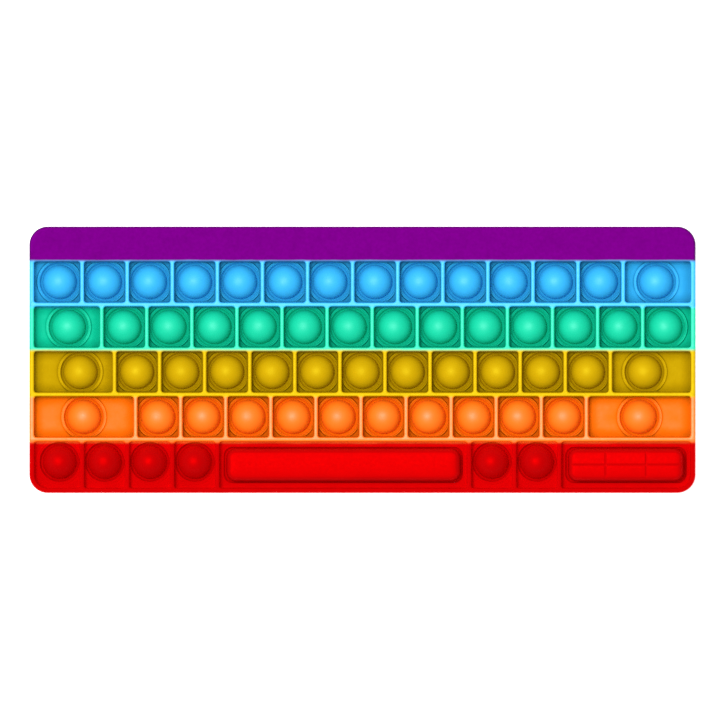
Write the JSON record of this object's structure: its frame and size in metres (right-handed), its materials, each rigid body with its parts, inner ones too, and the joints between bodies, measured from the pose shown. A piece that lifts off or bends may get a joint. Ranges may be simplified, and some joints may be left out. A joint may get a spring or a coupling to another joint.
{
  "type": "push bubble fidget toy",
  "caption": "Flat silicone fidget toy laid out like a computer keyboard: rainbow rows of walled wells, each with a domed bubble that pushes through to the back.",
  "frame": {"origin": "centre of the outline, on the flat back face that the toy rests on", "axes": "+X to the right along the rows of keys, +Y towards the plain top band, +Z out of the front, the side the bubbles stand out of"},
  "size_m": [0.3, 0.12, 0.0092],
  "materials": {
    "purple_silicone": "satin",
    "blue_silicone": "satin",
    "green_silicone": "satin",
    "yellow_silicone": "satin",
    "orange_silicone": "satin",
    "red_silicone": "satin"
  },
  "bodies": {
    "tray": {"purple_band": "purple_silicone", "blue_band": "blue_silicone", "green_band": "green_silicone", "yellow_band": "yellow_silicone", "orange_band": "orange_silicone", "red_band": "red_silicone"},
    "blue_bubble_pair_1": {"blue_bubble_pair_1": "blue_silicone"},
    "blue_bubble_pair_2": {"blue_bubble_pair_2": "blue_silicone"},
    "blue_bubble_pair_3": {"blue_bubble_pair_3": "blue_silicone"},
    "blue_bubble_pair_4": {"blue_bubble_pair_4": "blue_silicone"},
    "blue_bubble_pair_5": {"blue_bubble_pair_5": "blue_silicone"},
    "blue_bubble_pair_6": {"blue_bubble_pair_6": "blue_silicone"},
    "blue_bubble_pair_7": {"blue_bubble_pair_7": "blue_silicone"},
    "green_bubble_01": {"green_bubble_01": "green_silicone"},
    "green_bubble_02": {"green_bubble_02": "green_silicone"},
    "green_bubble_03": {"green_bubble_03": "green_silicone"},
    "green_bubble_04": {"green_bubble_04": "green_silicone"},
    "green_bubble_05": {"green_bubble_05": "green_silicone"},
    "green_bubble_06": {"green_bubble_06": "green_silicone"},
    "green_bubble_07": {"green_bubble_07": "green_silicone"},
    "green_bubble_08": {"green_bubble_08": "green_silicone"},
    "green_bubble_09": {"green_bubble_09": "green_silicone"},
    "green_bubble_10": {"green_bubble_10": "green_silicone"},
    "green_bubble_11": {"green_bubble_11": "green_silicone"},
    "green_bubble_12": {"green_bubble_12": "green_silicone"},
    "green_bubble_13": {"green_bubble_13": "green_silicone"},
    "green_bubble_14": {"green_bubble_14": "green_silicone"},
    "yellow_bubble_01": {"yellow_bubble_01": "yellow_silicone"},
    "yellow_bubble_02": {"yellow_bubble_02": "yellow_silicone"},
    "yellow_bubble_03": {"yellow_bubble_03": "yellow_silicone"},
    "yellow_bubble_04": {"yellow_bubble_04": "yellow_silicone"},
    "yellow_bubble_05": {"yellow_bubble_05": "yellow_silicone"},
    "yellow_bubble_06": {"yellow_bubble_06": "yellow_silicone"},
    "yellow_bubble_07": {"yellow_bubble_07": "yellow_silicone"},
    "yellow_bubble_08": {"yellow_bubble_08": "yellow_silicone"},
    "yellow_bubble_09": {"yellow_bubble_09": "yellow_silicone"},
    "yellow_bubble_10": {"yellow_bubble_10": "yellow_silicone"},
    "yellow_bubble_11": {"yellow_bubble_11": "yellow_silicone"},
    "yellow_bubble_12": {"yellow_bubble_12": "yellow_silicone"},
    "yellow_bubble_13": {"yellow_bubble_13": "yellow_silicone"},
    "orange_bubble_01": {"orange_bubble_01": "orange_silicone"},
    "orange_bubble_02": {"orange_bubble_02": "orange_silicone"},
    "orange_bubble_03": {"orange_bubble_03": "orange_silicone"},
    "orange_bubble_04": {"orange_bubble_04": "orange_silicone"},
    "orange_bubble_05": {"orange_bubble_05": "orange_silicone"},
    "orange_bubble_06": {"orange_bubble_06": "orange_silicone"},
    "orange_bubble_07": {"orange_bubble_07": "orange_silicone"},
    "orange_bubble_08": {"orange_bubble_08": "orange_silicone"},
    "orange_bubble_09": {"orange_bubble_09": "orange_silicone"},
    "orange_bubble_10": {"orange_bubble_10": "orange_silicone"},
    "orange_bubble_11": {"orange_bubble_11": "orange_silicone"},
    "orange_bubble_12": {"orange_bubble_12": "orange_silicone"},
    "red_bubble_01": {"red_bubble_01": "red_silicone"},
    "red_bubble_02": {"red_bubble_02": "red_silicone"},
    "red_bubble_03": {"red_bubble_03": "red_silicone"},
    "red_bubble_04": {"red_bubble_04": "red_silicone"},
    "red_bubble_05": {"red_bubble_05": "red_silicone"},
    "red_bubble_06": {"red_bubble_06": "red_silicone"},
    "space_bar": {"space_bar": "red_silicone"},
    "arrow_pad": {"arrow_pad": "red_silicone"}
  },
  "joints": [
    {"name": "press_blue_bubble_pair_1", "type": "slide", "parent": "tray", "child": "blue_bubble_pair_1", "axis": [0, 0, 1], "range_m": [-0.01445, 0]},
    {"name": "press_blue_bubble_pair_2", "type": "slide", "parent": "tray", "child": "blue_bubble_pair_2", "axis": [0, 0, 1], "range_m": [-0.01445, 0]},
    {"name": "press_blue_bubble_pair_3", "type": "slide", "parent": "tray", "child": "blue_bubble_pair_3", "axis": [0, 0, 1], "range_m": [-0.01445, 0]},
    {"name": "press_blue_bubble_pair_4", "type": "slide", "parent": "tray", "child": "blue_bubble_pair_4", "axis": [0, 0, 1], "range_m": [-0.01445, 0]},
    {"name": "press_blue_bubble_pair_5", "type": "slide", "parent": "tray", "child": "blue_bubble_pair_5", "axis": [0, 0, 1], "range_m": [-0.01445, 0]},
    {"name": "press_blue_bubble_pair_6", "type": "slide", "parent": "tray", "child": "blue_bubble_pair_6", "axis": [0, 0, 1], "range_m": [-0.01445, 0]},
    {"name": "press_blue_bubble_pair_7", "type": "slide", "parent": "tray", "child": "blue_bubble_pair_7", "axis": [0, 0, 1], "range_m": [-0.01445, 0]},
    {"name": "press_green_bubble_01", "type": "slide", "parent": "tray", "child": "green_bubble_01", "axis": [0, 0, 1], "range_m": [-0.01445, 0]},
    {"name": "press_green_bubble_02", "type": "slide", "parent": "tray", "child": "green_bubble_02", "axis": [0, 0, 1], "range_m": [-0.01445, 0]},
    {"name": "press_green_bubble_03", "type": "slide", "parent": "tray", "child": "green_bubble_03", "axis": [0, 0, 1], "range_m": [-0.01445, 0]},
    {"name": "press_green_bubble_04", "type": "slide", "parent": "tray", "child": "green_bubble_04", "axis": [0, 0, 1], "range_m": [-0.01445, 0]},
    {"name": "press_green_bubble_05", "type": "slide", "parent": "tray", "child": "green_bubble_05", "axis": [0, 0, 1], "range_m": [-0.01445, 0]},
    {"name": "press_green_bubble_06", "type": "slide", "parent": "tray", "child": "green_bubble_06", "axis": [0, 0, 1], "range_m": [-0.01445, 0]},
    {"name": "press_green_bubble_07", "type": "slide", "parent": "tray", "child": "green_bubble_07", "axis": [0, 0, 1], "range_m": [-0.01445, 0]},
    {"name": "press_green_bubble_08", "type": "slide", "parent": "tray", "child": "green_bubble_08", "axis": [0, 0, 1], "range_m": [-0.01445, 0]},
    {"name": "press_green_bubble_09", "type": "slide", "parent": "tray", "child": "green_bubble_09", "axis": [0, 0, 1], "range_m": [-0.01445, 0]},
    {"name": "press_green_bubble_10", "type": "slide", "parent": "tray", "child": "green_bubble_10", "axis": [0, 0, 1], "range_m": [-0.01445, 0]},
    {"name": "press_green_bubble_11", "type": "slide", "parent": "tray", "child": "green_bubble_11", "axis": [0, 0, 1], "range_m": [-0.01445, 0]},
    {"name": "press_green_bubble_12", "type": "slide", "parent": "tray", "child": "green_bubble_12", "axis": [0, 0, 1], "range_m": [-0.01445, 0]},
    {"name": "press_green_bubble_13", "type": "slide", "parent": "tray", "child": "green_bubble_13", "axis": [0, 0, 1], "range_m": [-0.01445, 0]},
    {"name": "press_green_bubble_14", "type": "slide", "parent": "tray", "child": "green_bubble_14", "axis": [0, 0, 1], "range_m": [-0.01445, 0]},
    {"name": "press_yellow_bubble_01", "type": "slide", "parent": "tray", "child": "yellow_bubble_01", "axis": [0, 0, 1], "range_m": [-0.01445, 0]},
    {"name": "press_yellow_bubble_02", "type": "slide", "parent": "tray", "child": "yellow_bubble_02", "axis": [0, 0, 1], "range_m": [-0.01445, 0]},
    {"name": "press_yellow_bubble_03", "type": "slide", "parent": "tray", "child": "yellow_bubble_03", "axis": [0, 0, 1], "range_m": [-0.01445, 0]},
    {"name": "press_yellow_bubble_04", "type": "slide", "parent": "tray", "child": "yellow_bubble_04", "axis": [0, 0, 1], "range_m": [-0.01445, 0]},
    {"name": "press_yellow_bubble_05", "type": "slide", "parent": "tray", "child": "yellow_bubble_05", "axis": [0, 0, 1], "range_m": [-0.01445, 0]},
    {"name": "press_yellow_bubble_06", "type": "slide", "parent": "tray", "child": "yellow_bubble_06", "axis": [0, 0, 1], "range_m": [-0.01445, 0]},
    {"name": "press_yellow_bubble_07", "type": "slide", "parent": "tray", "child": "yellow_bubble_07", "axis": [0, 0, 1], "range_m": [-0.01445, 0]},
    {"name": "press_yellow_bubble_08", "type": "slide", "parent": "tray", "child": "yellow_bubble_08", "axis": [0, 0, 1], "range_m": [-0.01445, 0]},
    {"name": "press_yellow_bubble_09", "type": "slide", "parent": "tray", "child": "yellow_bubble_09", "axis": [0, 0, 1], "range_m": [-0.01445, 0]},
    {"name": "press_yellow_bubble_10", "type": "slide", "parent": "tray", "child": "yellow_bubble_10", "axis": [0, 0, 1], "range_m": [-0.01445, 0]},
    {"name": "press_yellow_bubble_11", "type": "slide", "parent": "tray", "child": "yellow_bubble_11", "axis": [0, 0, 1], "range_m": [-0.01445, 0]},
    {"name": "press_yellow_bubble_12", "type": "slide", "parent": "tray", "child": "yellow_bubble_12", "axis": [0, 0, 1], "range_m": [-0.01445, 0]},
    {"name": "press_yellow_bubble_13", "type": "slide", "parent": "tray", "child": "yellow_bubble_13", "axis": [0, 0, 1], "range_m": [-0.01445, 0]},
    {"name": "press_orange_bubble_01", "type": "slide", "parent": "tray", "child": "orange_bubble_01", "axis": [0, 0, 1], "range_m": [-0.01445, 0]},
    {"name": "press_orange_bubble_02", "type": "slide", "parent": "tray", "child": "orange_bubble_02", "axis": [0, 0, 1], "range_m": [-0.01445, 0]},
    {"name": "press_orange_bubble_03", "type": "slide", "parent": "tray", "child": "orange_bubble_03", "axis": [0, 0, 1], "range_m": [-0.01445, 0]},
    {"name": "press_orange_bubble_04", "type": "slide", "parent": "tray", "child": "orange_bubble_04", "axis": [0, 0, 1], "range_m": [-0.01445, 0]},
    {"name": "press_orange_bubble_05", "type": "slide", "parent": "tray", "child": "orange_bubble_05", "axis": [0, 0, 1], "range_m": [-0.01445, 0]},
    {"name": "press_orange_bubble_06", "type": "slide", "parent": "tray", "child": "orange_bubble_06", "axis": [0, 0, 1], "range_m": [-0.01445, 0]},
    {"name": "press_orange_bubble_07", "type": "slide", "parent": "tray", "child": "orange_bubble_07", "axis": [0, 0, 1], "range_m": [-0.01445, 0]},
    {"name": "press_orange_bubble_08", "type": "slide", "parent": "tray", "child": "orange_bubble_08", "axis": [0, 0, 1], "range_m": [-0.01445, 0]},
    {"name": "press_orange_bubble_09", "type": "slide", "parent": "tray", "child": "orange_bubble_09", "axis": [0, 0, 1], "range_m": [-0.01445, 0]},
    {"name": "press_orange_bubble_10", "type": "slide", "parent": "tray", "child": "orange_bubble_10", "axis": [0, 0, 1], "range_m": [-0.01445, 0]},
    {"name": "press_orange_bubble_11", "type": "slide", "parent": "tray", "child": "orange_bubble_11", "axis": [0, 0, 1], "range_m": [-0.01445, 0]},
    {"name": "press_orange_bubble_12", "type": "slide", "parent": "tray", "child": "orange_bubble_12", "axis": [0, 0, 1], "range_m": [-0.01445, 0]},
    {"name": "press_red_bubble_01", "type": "slide", "parent": "tray", "child": "red_bubble_01", "axis": [0, 0, 1], "range_m": [-0.01445, 0]},
    {"name": "press_red_bubble_02", "type": "slide", "parent": "tray", "child": "red_bubble_02", "axis": [0, 0, 1], "range_m": [-0.01445, 0]},
    {"name": "press_red_bubble_03", "type": "slide", "parent": "tray", "child": "red_bubble_03", "axis": [0, 0, 1], "range_m": [-0.01445, 0]},
    {"name": "press_red_bubble_04", "type": "slide", "parent": "tray", "child": "red_bubble_04", "axis": [0, 0, 1], "range_m": [-0.01445, 0]},
    {"name": "press_red_bubble_05", "type": "slide", "parent": "tray", "child": "red_bubble_05", "axis": [0, 0, 1], "range_m": [-0.01445, 0]},
    {"name": "press_red_bubble_06", "type": "slide", "parent": "tray", "child": "red_bubble_06", "axis": [0, 0, 1], "range_m": [-0.01445, 0]},
    {"name": "press_space_bar", "type": "slide", "parent": "tray", "child": "space_bar", "axis": [0, 0, 1], "range_m": [-0.0134, 0]},
    {"name": "press_arrow_pad", "type": "slide", "parent": "tray", "child": "arrow_pad", "axis": [0, 0, 1], "range_m": [-0.0134, 0]}
  ]
}
